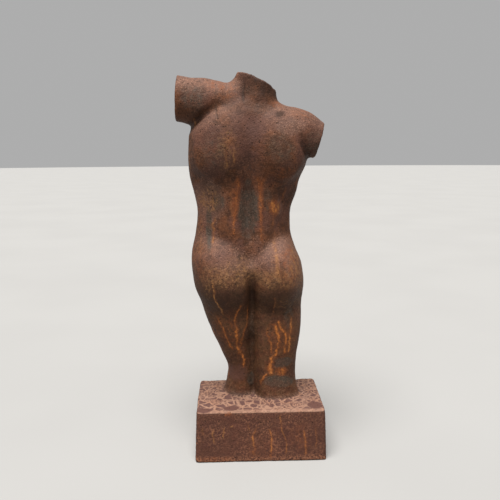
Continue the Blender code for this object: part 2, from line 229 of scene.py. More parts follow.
# Stains that show on the back: across, up, half width, half height, strength and, if it leans, tilt
BACK_STAINS = {
    Stain.BLOOM: (
        (35, 408, 7, 38, 0.85, 5), (-2, 400, 5, 46, 0.75), (-24, 392, 10, 17, 1.0, 8),
        (-34, 398, 8, 13, 0.45), (58, 574, 32, 12, 0.6), (48, 562, 20, 14, 0.45),
        (-46, 304, 20, 40, 0.65), (-26, 548, 14, 6, 0.6), (-66, 532, 24, 12, 0.4),
        (92, 310, 10, 40, 0.4), (90, 385, 8, 36, 0.45), (50, 200, 26, 40, 0.45),
        (-36, 190, 26, 34, 0.45), (-36, 129, 12, 9, 1.0), (-14, 134, 8, 12, 0.5), (72, 5, 36, 5, 0.5),
        (50, 78, 8, 4, 0.9), (-60, 40, 22, 30, 0.35), (0, 26, 30, 30, 0.3), (8, 450, 34, 18, 0.45),
        (-36, 446, 18, 12, 0.5),
    ),
    Stain.DUST: (
        (56, 576, 30, 12, 0.9), (-32, 330, 30, 20, 0.75), (46, 326, 30, 12, 0.25),
        (12, 452, 26, 16, 0.5), (78, 402, 28, 36, 1.0), (-30, 394, 8, 13, 0.9), (-60, 304, 24, 50, 1.0),
        # The second of these, on the right hip's outer edge, is painted light rather than dust
        (6, 338, 14, 18, 0.35), (-78, 285, 14, 50, 0.8), (-46, 514, 24, 14, 1.0),
        (110, 584, 14, 12, 0.5),
    ),
    Stain.OCHRE: (
        (48, 480, 20, 40, 0.55), (45, 292, 48, 22, 0.75), (-30, 286, 40, 18, 0.85),
        (80, 275, 8, 26, 0.6), (-62, 304, 20, 44, 0.95), (93, 350, 8, 40, 0.5), (-44, 246, 30, 16, 0.5),
        (34, 312, 24, 12, 0.5), (-24, 478, 22, 24, 0.25), (76, 406, 18, 22, 1.0),
    ),
    Stain.IRON: (
        (16, 392, 20, 36, 0.95), (16, 428, 7, 16, 0.5), (-13, 404, 8, 24, 0.5), (18, 360, 14, 18, 0.55),
        (-37, 144, 18, 9, 1.0, -5), (-32, 112, 27, 11, 1.0, 5), (14, 112, 8, 14, 0.7),
        (77, 362, 6, 40, 0.75), (62, 402, 12, 14, 0.7), (96, 556, 26, 22, 0.48),
        (-46, 222, 10, 26, 0.5), (14, 186, 10, 54, 0.4), (-30, 482, 28, 26, 0.48),
        (68, 478, 30, 36, 0.40), (-84, 492, 20, 26, 0.45),
    ),
    Stain.SCALE_AND_SHADE: (
        # The second and third of these paint the shadow under the buttocks, where the scale is darker too,
        # and the first of the next row paints the shade in the cleft between them
        (-30, 532, 9, 5, 1.0, -12), (58, 256, 50, 30, 0.65), (-34, 256, 44, 30, 0.60),
        (12, 264, 12, 40, 0.45), (100, 528, 30, 18, 0.50), (-80, 468, 22, 18, 0.55),
        (0, 574, 40, 28, 0.75), (14, 546, 50, 22, 0.55), (14, 500, 22, 34, 0.30),
        # (34, 85) paints the contact shadow where the legs meet the plinth's top
        (-42, 370, 18, 18, 0.25), (13, 104, 6, 12, 0.8), (34, 85, 22, 4, 0.6), (31, 319, 3.4, 5, 1.0),
        (18, 405, 2.8, 4, 1.0), (7, 382, 2.8, 8, 1.0), (34, 292, 2.6, 5, 1.0), (8, 356, 2.4, 6, 0.7),
        (54, 339, 9, 2.5, 0.7), (78, 350, 3.4, 7, 1.0), (78, 376, 2.6, 8, 0.6),
    ),
    Stain.PLUM: (
        (4, 334, 10, 16, 0.4), (12, 500, 26, 44, 0.6), (36, 122, 18, 18, 0.8), (70, 480, 14, 30, 0.4),
        (-60, 500, 26, 16, 0.4), (52, 316, 30, 14, 0.5), (20, 366, 30, 14, 0.5),
    ),
}

# Plum islands that show on the plinth's top, seen from above
TOP_ISLANDS = (
    (-86, 46, 12, 14, 1.0, 10), (88, 58, 14, 8, 0.9, 0), (46, 52, 13, 9, 1.0, 10),
)

FIGURE_PATCHES = (
    *(Patch(stain, *row) for stain, rows in BACK_STAINS.items() for row in rows),
    *(Patch(Stain.PLUM, *row, side=Side.TOP) for row in TOP_ISLANDS),
)

# Folds that are sharper than the solid's own blended form, each with the shade painted into it last
FIGURE_CREASES = (
    Crease(((22, 580), (24, 562), (22, 547)), 2.4, 1.6, 1.0),
    Crease(((3, 554), (3, 540)), 2.4, 1.3, 0.9),
    Crease(((26, 547), (4, 541), (-16, 539), (-28, 546)), 5.0, 1.3, 0.3),
    Crease(((104, 520), (89, 528), (75, 538), (60, 552)), 5.0, 1.2, 0.15),
    Crease(((-78, 468), (-65, 483), (-60, 494)), 4.5, 1.6, 0.2),
    Crease(((84, 352), (62, 347), (46, 341), (30, 328), (17, 314)), 5.0, 0.6, 0.1),
    Crease(((-52, 352), (-33, 345), (-18, 338), (-4, 326), (8, 314)), 5.0, 0.6, 0.1),
    Crease(((62, 552), (64, 541), (60, 522)), 2.0, 0.8, 0.7),
)

# Pits that show on the back
FIGURE_PITS = (
    Pit(51, 483, 1.8, 0.7), Pit(18, 405, 1.6, 0.7), Pit(8, 383, 2.0, 0.9), Pit(20, 373, 1.5, 0.7),
    Pit(32, 295, 2.4, 1.0), Pit(75, 321, 1.8, 0.7), Pit(61, 322, 1.6, 0.6), Pit(-23, 478, 1.5, 0.6),
    Pit(-4, 166, 1.6, 0.7), Pit(60, 547, 1.6, 0.8), Pit(62, 537, 1.8, 0.8), Pit(62, 516, 1.6, 0.8),
    Pit(-9, 576, 1.6, 0.7), Pit(-28, 72, 1.8, 0.9), Pit(5, 44, 2.0, 0.8), Pit(-62, 47, 2.2, 0.9),
    Pit(15, 474, 2.0, 0.8), Pit(75, 583, 2.4, 1.0),
)


def ease(values: Array, low: float, high: float) -> Array:
    """Turns values into 0 at low and 1 at high, with a smooth rise between.

    Args:
        values: Any numbers.
        low: Where the rise starts.
        high: Where it ends, which may be below low for a fall.

    Returns:
        Numbers from 0 to 1, shaped like values.
    """
    share = np.clip((values - low) / (high - low), 0.0, 1.0)
    return share * share * (3.0 - 2.0 * share)


def tree_of(points: Sequence[Iterable[float]]) -> KDTree:
    """Builds a search tree.

    Args:
        points: The points in it.

    Returns:
        The tree, whose numbers are the points' places in the list.
    """
    tree = KDTree(len(points))
    for number, point in enumerate(points):
        tree.insert(point, number)
    tree.balance()
    return tree


class Locator:
    """Finds places on the casting's surface. Points are in millimetres.

    A look starts FAR out, and BENDS says how often a trail strays, across and up, and by which noise. Water
    is followed by STEP, keeps a share of its drift and stops where the surface is nearly LEVEL.
    """

    FAR = 800.0
    BENDS = (0.11, 0.16, 7.0)
    STEP = 3.0
    LEVEL = 0.15
    KEPT_DRIFT = 0.7

    def __init__(self, points: Array, faces: Sequence[Sequence[int]]) -> None:
        """Builds the search tree from points in millimetres and faces."""
        self._tree = BVHTree.FromPolygons([Vector(p) for p in points], faces)

    def place(self, across: float, up: float, side: Side) -> tuple[Vector, Vector] | None:
        """Looks straight at a side and finds the surface at one place.

        Args:
            across: The place along the side's first axis.
            up: The place along the side's second axis.
            side: The side looked at.

        Returns:
            The point and its normal, or None where the look misses the casting.
        """
        first, second, facing, way = side.value
        eye = Vector((0.0, 0.0, 0.0))
        eye[first], eye[second], eye[facing] = across, up, way * self.FAR
        look = Vector((0.0, 0.0, 0.0))
        look[facing] = -way
        point, normal, _, _ = self._tree.ray_cast(eye, look)
        return None if point is None else (point, normal)

    def nearest(self, point: Vector) -> tuple[Vector, Vector]:
        """Finds the nearest point of the surface and its normal."""
        found, normal, _, _ = self._tree.find_nearest(point)
        return found, normal

    def trail(self, path: Sequence[Place], side: Side, step: float, wander: float) -> Array:
        """Lays a path seen from one side onto the surface.

        Args:
            path: The path's places.
            side: The side that they are seen from.
            step: How far apart the trail's points are.
            wander: How far the trail strays from the straight lines between its places.

        Returns:
            The trail's points, an array of n by 3.
        """
        often, rising, seed = self.BENDS
        corners = np.array(path, float)
        gaps = np.hypot(*np.diff(corners, axis=0).T)
        reached = np.concatenate([[0.0], np.cumsum(gaps)])
        count = max(LEAST_POINTS, int(reached[-1] / step) + 1)
        found = []
        for share in np.linspace(0.0, reached[-1], count):
            across = float(np.interp(share, reached, corners[:, 0]))
            up = float(np.interp(share, reached, corners[:, 1]))
            stray = wander * noise.noise(Vector((across * often, up * rising, seed)))
            hit = self.place(across + stray, up, side)
            if hit is not None:
                found.append(hit[0])
        return np.array(found).reshape(-1, 3)

    def downhill(self, start: Vector, length: float, wander: float, rng: random.Random) -> Array:
        """Traces the way that water takes down the surface.

        Args:
            start: A point near the surface.
            length: How far the water runs.
            wander: How strongly it strays to a side, from 0 to 1.
            rng: The source of its straying.

        Returns:
            The trail's points, an array of n by 3.
        """
        drift = 0.0
        point, normal = self.nearest(start)
        found = [point]
        for _ in range(int(length / self.STEP)):
            down = Vector((0.0, 0.0, -1.0))
            down -= normal * down.dot(normal)
            if down.length < self.LEVEL:
                break
            down.normalize()
            drift = self.KEPT_DRIFT * drift + rng.uniform(-wander, wander)
            moved = point + (down + normal.cross(down) * drift).normalized() * self.STEP
            point, normal = self.nearest(moved)
            found.append(point)
        return np.array(found).reshape(-1, 3)


@dataclass
class TrailField:
    """How the points near a trail lie from it: their indices, distance, distance across and way along."""

    index: Array
    distance: Array
    across: Array
    along: Array
    length: float

    @classmethod
    def measure(cls, points: Array, normals: Array, trail: Array, reach: float) -> TrailField:
        """Measures the points that lie near a trail.

        Args:
            points: The surface's points.
            normals: Their normals.
            trail: The trail's points.
            reach: How far from the trail's box points are looked at.

        Returns:
            The field of the points in that box.
        """
        low, high = trail.min(axis=0) - reach, trail.max(axis=0) + reach
        index = np.flatnonzero(((points >= low) & (points <= high)).all(axis=1))
        near, out = points[index], normals[index]
        distance = np.full(len(index), np.inf)
        across = np.zeros(len(index))
        along = np.zeros(len(index))
        run = 0.0
        for start, end in zip(trail, trail[1:]):
            length = float(np.linalg.norm(end - start))
            if length < LEAST_LENGTH:
                continue
            way = (end - start) / length
            share = np.clip((near - start) @ way, 0.0, length)
            gap = near - start - share[:, None] * way
            reached = np.linalg.norm(gap, axis=1)
            closer = reached < distance
            distance[closer] = reached[closer]
            lateral = np.einsum("ij,ij->i", np.cross(out, way), gap)
            across[closer] = lateral[closer]
            along[closer] = (run + share)[closer]
            run += length
        return cls(index, distance, across, along, run)

    def tapered(self, top: Span, foot: Span) -> Array:
        """Fades the trail out towards both ends.

        Args:
            top: From what to what way along it fades in.
            foot: The same from its other end.

        Returns:
            A number for each point, from 0 to 1.
        """
        return ease(self.along, *top) * ease(self.length - self.along, *foot)


@dataclass
class Skin:
    """The casting's fine mesh while it is worked. Points are in millimetres.

    EVEN is how far a value moves towards its neighbours' mean, PULLS how far a point moves in and then out.
    """

    EVEN = 0.5
    PULLS = (0.50, -0.52)
    SHIFTS = (3.7, 1.3, 2.1)
    FALL_OFF = 1.0
    FINER = 2.0

    mesh: bpy.types.Mesh
    points: Array = field(init=False)
    edges: Array = field(init=False)
    count: Array = field(init=False)

    def __post_init__(self) -> None:
        """Reads the points and edges from the mesh."""
        self.points = np.empty(len(self.mesh.vertices) * 3, np.float32)
        self.mesh.vertices.foreach_get("co", self.points)
        self.points = self.points.reshape(-1, 3).astype(float) / MM
        self.edges = np.empty(len(self.mesh.edges) * 2, np.int32)
        self.mesh.edges.foreach_get("vertices", self.edges)
        self.edges = self.edges.reshape(-1, 2)
        self.count = np.bincount(self.edges.ravel(), minlength=len(self.points)).astype(float)

    def averaged(self, values: Array) -> Array:
        """Gives each point the mean of its neighbours' values.

        Args:
            values: An array with a row for each point.

        Returns:
            The means, by the same rows and columns.
        """
        first, second = self.edges.T
        total = [
            np.bincount(first, column[second], len(column)) + np.bincount(second, column[first], len(column))
            for column in values.T
        ]
        return np.stack(total, axis=1) / self.count[:, None]

    def relaxed(self, values: Array, passes: int) -> Array:
        """Smooths values over the surface.

        Args:
            values: An array with a row for each point.
            passes: How many times each value moves towards its neighbours' mean.

        Returns:
            The smoothed values.
        """
        values = values.copy()
        for _ in range(passes):
            values += self.EVEN * (self.averaged(values) - values)
        return values

    def smoothed(self, passes: int, share: Array) -> Array:
        """Smooths the points without shrinking the form, by moving them in and then out.

        Args:
            passes: How many times the points move in and out.
            share: How freely each point moves, from 0 to 1.

        Returns:
            The smoothed points.
        """
        points = self.points.copy()
        for _ in range(passes):
            for pull in self.PULLS:
                points += pull * share[:, None] * (self.averaged(points) - points)
        return points

    def normals(self) -> Array:
        """Writes the points to the mesh and reads its normals.

        Returns:
            The normals, an array of n by 3.
        """
        self.write()
        values = np.empty(len(self.points) * 3, np.float32)
        self.mesh.vertex_normals.foreach_get("vector", values)
        return values.reshape(-1, 3).astype(float)

    def write(self) -> None:
        """Writes the points to the mesh, in metres."""
        self.mesh.vertices.foreach_set("co", (self.points * MM).astype(np.float32).ravel())
        self.mesh.update()

    def store(self, name: str, values: Array) -> None:
        """Stores values on the mesh's points.

        Args:
            name: The attribute's name.
            values: A number or a vector for each point.
        """
        kind, slot = ("FLOAT", "value") if values.ndim == 1 else ("FLOAT_VECTOR", "vector")
        attribute = self.mesh.attributes.new(name, kind, "POINT")
        attribute.data.foreach_set(slot, values.astype(np.float32).ravel())

    def roughness(self, relief: Relief) -> Array:
        """Samples a relief's fractal noise at each point.

        Args:
            relief: The relief.

        Returns:
            A number for each point, mostly from -1 to 1.
        """
        at = self.points / relief.size + relief.seed * np.array(self.SHIFTS)
        layers = (self.FALL_OFF, self.FINER, relief.octaves)
        return np.array([noise.fractal(p, *layers) for p in at.tolist()])


class RunLayers:
    """The rust runs' places on the mesh, in layers whose runs keep clear of each other.

    A layer holds the signed distance across its nearest run, in half widths, which stays sharp between the
    mesh's points. Where two runs would lie close together they go into two layers, so that the sign never
    flips inside a run: CLEAR is how far apart one layer's runs stay. A run is held as far as REACH from its
    middle, less over the last EDGE, and fades in over TOP, out over FOOT and past its ends over BEYOND.
    """

    NAMES = ("rust_run_a", "rust_run_b", "rust_run_c", "rust_run_d")
    CLEAR = 15.0
    REACH = 9.0
    EDGE = 3.0
    FAR_ACROSS = 4.0
    TOP: Span = (-2.0, 7.0)
    FOOT: Span = (-1.0, 5.0)
    BEYOND: Span = (3.5, 1.0)
    LEAST_SWELL = 1.4

    def __init__(self, skin: Skin, normals: Array) -> None:
        """Starts with empty layers.

        Args:
            skin: The casting's skin.
            normals: Its smooth normals.
        """
        self.skin = skin
        self.normals = normals
        empty = np.tile((self.FAR_ACROSS, 0.0, 0.0), (len(skin.points), 1))
        self.layers = [empty.copy() for _ in self.NAMES]
        self.trails: list[list[Array]] = [[] for _ in self.NAMES]
        self.relief = np.zeros(len(skin.points))

    def _free(self, trail: Array) -> int:
        """Chooses the layer for a trail.

        Args:
            trail: The trail's points.

        Returns:
            The number of the first layer whose runs stay clear of it, or of the emptiest.
        """
        for number, others in enumerate(self.trails):
            gaps = [np.linalg.norm(trail[:, None] - other[None], axis=2).min() for other in others]
            if not gaps or min(gaps) > self.CLEAR:
                return number
        return min(range(len(self.trails)), key=lambda number: len(self.trails[number]))

    def add(self, trail: Array, width: float, strength: float, amber: float) -> None:
        """Lays one run along a trail.

        Args:
            trail: The run's points, top first.
            width: Its width in millimetres.
            strength: How strong its colour is, from 0 to 1.
            amber: How yellow it is, from 0 to 1.
        """
        if len(trail) < LEAST_POINTS:
            return
        number = self._free(trail)
        self.trails[number].append(trail)
        near = TrailField.measure(self.skin.points, self.normals, trail, self.REACH)
        half = width / 2.0
        held = strength * ease(near.distance, self.REACH, self.REACH - self.EDGE)
        beyond = np.sqrt(np.maximum(near.distance**2 - near.across**2, 0.0))
        held *= near.tapered(self.TOP, self.FOOT) * ease(beyond, *self.BEYOND)
        layer = self.layers[number]
        won = held > layer[near.index, 1]
        chosen = near.index[won]
        layer[chosen, 0] = np.clip(near.across[won] / half, -self.FAR_ACROSS, self.FAR_ACROSS)
        layer[chosen, 1] = held[won]
        layer[chosen, 2] = amber
        swell = strength * np.exp(-((near.distance / max(half, self.LEAST_SWELL)) ** 2))
        self.relief[near.index] = np.maximum(self.relief[near.index], swell)

    def store(self) -> None:
        """Stores the layers on the mesh."""
        for name, layer in zip(self.NAMES, self.layers):
            self.skin.store(name, layer)


@dataclass(frozen=True)
class Relief:
    """Fractal relief of the skin, with its strength on the figure and the plinth. Lengths in millimetres."""

    size: float
    depth: float
    octaves: int
    seed: float
    on_figure: float = 1.0
    on_plinth: float = 1.0


@dataclass(frozen=True)
class Chance:
    """What chance strews where no place is given: how much, and from what to what. Lengths in millimetres."""

    seed: int = 11
    kinds: tuple[Stain, ...] = (Stain.BLOOM, Stain.OCHRE, Stain.IRON, Stain.SCALE_AND_SHADE, Stain.PLUM, Stain.BLOOM)
    patch_count: int = 42
    patch_across: Span = (-80.0, 95.0)
    patch_up: Span = (20.0, 560.0)
    patch_half_width: Span = (6.0, 20.0)
    patch_half_height: Span = (8.0, 34.0)
    patch_strength: Span = (0.3, 0.75)
    patch_tilt: Span = (-20.0, 20.0)
    figure_run_count: int = 46
    figure_run_up: Span = (120.0, 560.0)
    figure_run_length: Span = (40.0, 130.0)
    plinth_run_count: int = 18
    plinth_run_up: Span = (45.0, 78.0)
    plinth_run_length: Span = (25.0, 60.0)
    run_turn: Span = (math.radians(-200.0), math.radians(20.0))
    run_across: Span = (-50.0, 60.0)
    run_from: float = 140.0
    run_wander: float = 0.28
    run_width: Span = (2.2, 4.0)
    run_strength: Span = (0.4, 0.9)
    run_ambers: tuple[float, ...] = (0.0, 0.0, 0.4, 0.8)
    pit_count: int = 150
    pit_across: Span = (-95.0, 115.0)
    pit_up: Span = (5.0, 585.0)
    pit_radius: Span = (1.3, 2.4)
    pit_depth: Span = (0.3, 0.8)
    pit_sides: tuple[Side, ...] = (Side.BACK, Side.CHEST, Side.LEFT, Side.RIGHT)

    def patches(self, rng: random.Random) -> list[Patch]:
        """Chooses stains for the chest side.

        Args:
            rng: The source of chance.

        Returns:
            The stains.
        """
        return [
            Patch(
                rng.choice(self.kinds),
                rng.uniform(*self.patch_across),
                rng.uniform(*self.patch_up),
                rng.uniform(*self.patch_half_width),
                rng.uniform(*self.patch_half_height),
                rng.uniform(*self.patch_strength),
                rng.uniform(*self.patch_tilt),
                Side.CHEST,
            )
            for _ in range(self.patch_count)
        ]

    def runs(self, locator: Locator, rng: random.Random) -> Iterator[tuple[Array, float, float, float]]:
        """Traces rust runs downhill round the figure's front and sides and round the plinth.

        Args:
            locator: Finds places on the surface.
            rng: The source of chance.

        Returns:
            Each run's trail, width, strength and amber, one after the other.
        """
        for number in range(self.figure_run_count + self.plinth_run_count):
            on_plinth = number >= self.figure_run_count
            high = rng.uniform(*(self.plinth_run_up if on_plinth else self.figure_run_up))
            turn = rng.uniform(*self.run_turn)
            look = Vector((math.cos(turn), math.sin(turn), 0.0))
            centre = Vector((rng.uniform(*self.run_across), 0.0, high))
            length = rng.uniform(*(self.plinth_run_length if on_plinth else self.figure_run_length))
            trail = locator.downhill(centre + look * self.run_from, length, self.run_wander, rng)
            width = rng.uniform(*self.run_width)
            strength = rng.uniform(*self.run_strength)
            yield trail, width, strength, rng.choice(self.run_ambers)

    def pits(self, rng: random.Random) -> list[Pit]:
        """Chooses pits all over the casting.

        Args:
            rng: The source of chance.

        Returns:
            The pits.
        """
        return [
            Pit(
                rng.uniform(*self.pit_across),
                rng.uniform(*self.pit_up),
                rng.uniform(*self.pit_radius),
                rng.uniform(*self.pit_depth),
                rng.choice(self.pit_sides),
            )
            for _ in range(self.pit_count)
        ]


@dataclass
class Casting:
    """The figure and its plinth as one iron casting. Lengths in millimetres.

    The first fields are its sizes. The others are what it is worked with, and are filled in by build.
    """

    plinth_height: float = 82.0
    voxel: float = 2.15
    facet_passes: int = 14
    sharp_angle: float = math.radians(34.0)
    arris_width: float = 1.0
    arris_hold: float = 5.0
    normal_passes: int = 3
    patch_turn: Span = (-0.15, 0.2)
    patch_edge: Span = (1.35, 0.45)
    patch_rise: Span = (6.0, 3.0)
    crease_step: float = 3.0
    crease_stray: float = 0.6
    crease_reach: float = 2.5
    crease_end: Span = (-1.0, 8.0)
    hollow_passes: int = 24
    run_step: float = 2.0
    run_stray: float = 2.2
    run_height: float = 0.22
    pit_reach: float = 2.2
    pit_dark: float = 0.9
    broad: Relief = Relief(46.0, 0.45, 2, 1.0)
    sand: Relief = Relief(11.0, 0.22, 3, 2.0, on_plinth=1.6)
    scale: Relief = Relief(5.0, 0.16, 2, 3.0, on_figure=0.7, on_plinth=1.6)
    chips: Relief = Relief(17.0, 0.9, 3, 5.0)
    chip_where: Span = (0.15, 0.75)
    chip_width: Span = (4.0, 0.5)
    plinth_rise: Span = (4.0, -2.0)
    top_rise: Span = (-5.0, -2.0)
    top_turn: Span = (0.15, 0.55)
    lie_passes: int = 4
    foot_turn: Span = (0.6, 0.9)
    foot_rise: Span = (3.0, 1.0)
    foot_depth: float = 0.8
    chance: Chance = Chance()
    arris: KDTree = field(init=False)
    skin: Skin = field(init=False)
    normals: Array = field(init=False)
    locator: Locator = field(init=False)
    rng: random.Random = field(init=False)
    stains: dict[Stain, Array] = field(init=False)
    runs: RunLayers = field(init=False)

    def build(self, frame: dict[str, Any]) -> bpy.types.Object:
        """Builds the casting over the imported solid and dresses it.

        Args:
            frame: The loaded frame.

        Returns:
            The piece, which rides on the root and replaces the solid.
        """
        welded = self._welded(frame["nodes"][NODE])
        surface = BVHTree.FromPolygons(
            [v.co / MM for v in welded.vertices], [p.vertices[:] for p in welded.polygons]
        )
        piece = self._reskinned(welded)
        self.skin = Skin(piece.data)
        self._wear(surface)
        self.locator = Locator(self.skin.points, [p.vertices[:] for p in piece.data.polygons])
        self.normals = self.skin.relaxed(self.skin.normals(), self.normal_passes)
        self.rng = random.Random(self.chance.seed)
        self._stain()
        self._fold()
        hollows = self._hollows()
        self._run()
        self._pit()
        self._roughen()
        self._keep_in_box()
        self._record(hollows)
        piece.data.shade_smooth()
        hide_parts(NODE)
        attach(piece, "root")
        RustedIron().dress(piece)
        return piece

    def _welded(self, solid: bpy.types.Object) -> bpy.types.Mesh:
        """Copies the solid's mesh, joins its split points and notes where its sharp edges run.

        Args:
            solid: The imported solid.

        Returns:
            The welded copy.
        """
        work = bmesh.new()
        work.from_mesh(solid.data)
        bmesh.ops.remove_doubles(work, verts=work.verts, dist=WELD)
        along = []
        for edge in work.edges:
            if edge.is_manifold and edge.calc_face_angle() > self.sharp_angle and edge.is_convex:
                start, end = (v.co / MM for v in edge.verts)
                steps = max(1, int((end - start).length))
                along += [start.lerp(end, n / steps) for n in range(steps + 1)]
        self.arris = tree_of(along)
        welded = bpy.data.meshes.new("welded_casting")
        work.to_mesh(welded)
        work.free()
        return welded

    def _reskinned(self, welded: bpy.types.Mesh) -> bpy.types.Object:
        """Skins the solid's form with an even mesh.

        Args:
            welded: The solid's welded mesh.

        Returns:
            The piece.
        """
        piece = bpy.data.objects.new("rusted_casting", welded)
        bpy.context.scene.collection.objects.link(piece)
        remesh = piece.modifiers.new("even_skin", "REMESH")
        remesh.mode = "VOXEL"
        remesh.voxel_size = self.voxel * MM
        even = bpy.data.meshes.new_from_object(piece.evaluated_get(bpy.context.evaluated_depsgraph_get()))
        piece.modifiers.clear()
        piece.data = even
        bpy.data.meshes.remove(welded)
        return piece

    def _arris_gap(self) -> Array:
        """Measures each point's distance from the nearest sharp edge."""
        return np.array([self.arris.find(p)[2] for p in self.skin.points.tolist()])

    def _wear(self, surface: BVHTree) -> None:
        """Smooths the facets away, and keeps the cut faces' rims and the plinth's arrises where they are.

        Args:
            surface: The solid's faces.
        """
        skin = self.skin
        gap = self._arris_gap()
        skin.points = skin.smoothed(self.facet_passes, ease(gap, self.arris_width, self.arris_hold))
        held = ease(gap, self.arris_hold, self.arris_width)
        near = np.flatnonzero(held > 0.0)
        back = np.array([surface.find_nearest(p)[0] for p in skin.points[near].tolist()])
        skin.points[near] += held[near, None] * (back - skin.points[near])

    def _stain(self) -> None:
        """Lays the stains that show and, on the chest side, others like them."""
        self.stains = {stain: np.zeros(len(self.skin.points)) for stain in Stain}
        for patch in (*FIGURE_PATCHES, *self.chance.patches(self.rng)):
            self.stains[patch.stain] = np.maximum(self.stains[patch.stain], self._blot(patch))

    def _blot(self, patch: Patch) -> Array:
        """Works out how strongly a patch lies on each point.

        Args:
            patch: The patch.

        Returns:
            Its strength at each point, from 0 to 1.
        """
        first, second, facing, way = patch.side.value
        roll = math.radians(patch.tilt)
        across = self.skin.points[:, first] - patch.across
        up = self.skin.points[:, second] - patch.up
        out_across = (across * math.cos(roll) + up * math.sin(roll)) / patch.half_width
        out_up = (up * math.cos(roll) - across * math.sin(roll)) / patch.half_height
        shown = ease(self.normals[:, facing] * way, *self.patch_turn)
        if patch.side is Side.TOP:
            shown *= ease(np.abs(self.skin.points[:, 2] - self.plinth_height), *self.patch_rise)
        return patch.strength * ease(np.hypot(out_across, out_up), *self.patch_edge) * shown

    def _fold(self) -> None:
        """Presses the creases into the form and paints shade into them."""
        inward = np.zeros(len(self.skin.points))
        soot_and_shade = self.stains[Stain.SCALE_AND_SHADE]
        for crease in FIGURE_CREASES:
            trail = self.locator.trail(crease.path, crease.side, self.crease_step, self.crease_stray)
            reach = crease.width * self.crease_reach
            near = TrailField.measure(self.skin.points, self.normals, trail, reach)
            press = near.tapered(self.crease_end, self.crease_end)
            press *= np.exp(-((near.distance / crease.width) ** 2))
            inward[near.index] = np.maximum(inward[near.index], crease.depth * press)
            soot_and_shade[near.index] = np.maximum(soot_and_shade[near.index], crease.dark * press)
        self.skin.points -= inward[:, None] * self.normals

    def _hollows(self) -> Array:
        """Finds how hollow or crowned each place is, for the shade painted in hollows.

        Returns:
            A number for each point, from -1 on a crown to 1 in a hollow.
        """
        skin = self.skin
        bent = skin.relaxed(skin.points, self.hollow_passes) - skin.points
        lift = np.einsum("ij,ij->i", bent, skin.normals())
        return np.clip(skin.relaxed(lift[:, None], 2)[:, 0], -1.0, 1.0)

    def _run(self) -> None:
        """Lays the rust runs that show and, on the other sides, runs traced downhill."""
        self.runs = RunLayers(self.skin, self.normals)
        for run in FIGURE_RUNS:
            trail = self.locator.trail(run.path, run.side, self.run_step, self.run_stray)
            self.runs.add(trail, run.width, run.strength, run.amber)
        for run in self.chance.runs(self.locator, self.rng):
            self.runs.add(*run)

    def _pit(self) -> None:
        """Sinks the casting's pits and darkens them."""
        skin = self.skin
        tree = tree_of(skin.points.tolist())
        soot_and_shade = self.stains[Stain.SCALE_AND_SHADE]
        for pit in (*FIGURE_PITS, *self.chance.pits(self.rng)):
            hit = self.locator.place(pit.across, pit.up, pit.side)
            if hit is None:
                continue
            point, normal = hit
            for _, number, gap in tree.find_range(point, pit.radius * self.pit_reach):
                sink = math.exp(-((gap / pit.radius) ** 2))
                skin.points[number] -= pit.depth * sink * np.array(normal)
                soot_and_shade[number] = max(soot_and_shade[number], self.pit_dark * sink)

    def _roughen(self) -> None:
        """Gives the surface its undulation, sand-cast roughness, scale, chipped arrises and raised runs."""
        skin = self.skin
        high = skin.points[:, 2]
        on_plinth = ease(high - self.plinth_height, *self.plinth_rise)
        lift = self.run_height * self.runs.relief
        for relief in (self.broad, self.sand, self.scale):
            strength = relief.on_figure + (relief.on_plinth - relief.on_figure) * on_plinth
            lift += relief.depth * skin.roughness(relief) * strength
        chipped = ease(skin.roughness(self.chips), *self.chip_where)
        lift -= self.chips.depth * chipped * ease(self._arris_gap(), *self.chip_width)
        foot = ease(-self.normals[:, 2], *self.foot_turn) * ease(high, *self.foot_rise)
        skin.points += (lift * (1.0 - foot))[:, None] * self.normals

    def _keep_in_box(self) -> None:
        """Keeps every point inside the solid's box, and the underside flat."""
        low, high = (np.array(corner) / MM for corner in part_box(NODE))
        self.skin.points = np.clip(self.skin.points, low, high)
        flat = self.skin.points[:, 2] < self.foot_depth
        self.skin.points[flat, 2] = 0.0
        self.skin.write()

    def _record(self, hollows: Array) -> None:
        """Stores what the finish reads from the mesh.

        Args:
            hollows: How hollow each point's place is.
        """
        skin = self.skin
        skin.store(Trait.LIE.value, skin.relaxed(self.normals, self.lie_passes)[:, 2])
        skin.store(Trait.HOLLOW.value, hollows)
        level = ease(skin.points[:, 2] - self.plinth_height, *self.top_rise)
        level *= ease(self.normals[:, 2], *self.top_turn)
        skin.store(Trait.PLINTH_TOP.value, skin.relaxed(level[:, None], 1)[:, 0])
        for stain, values in self.stains.items():
            skin.store(stain.value, values)
        self.runs.store()


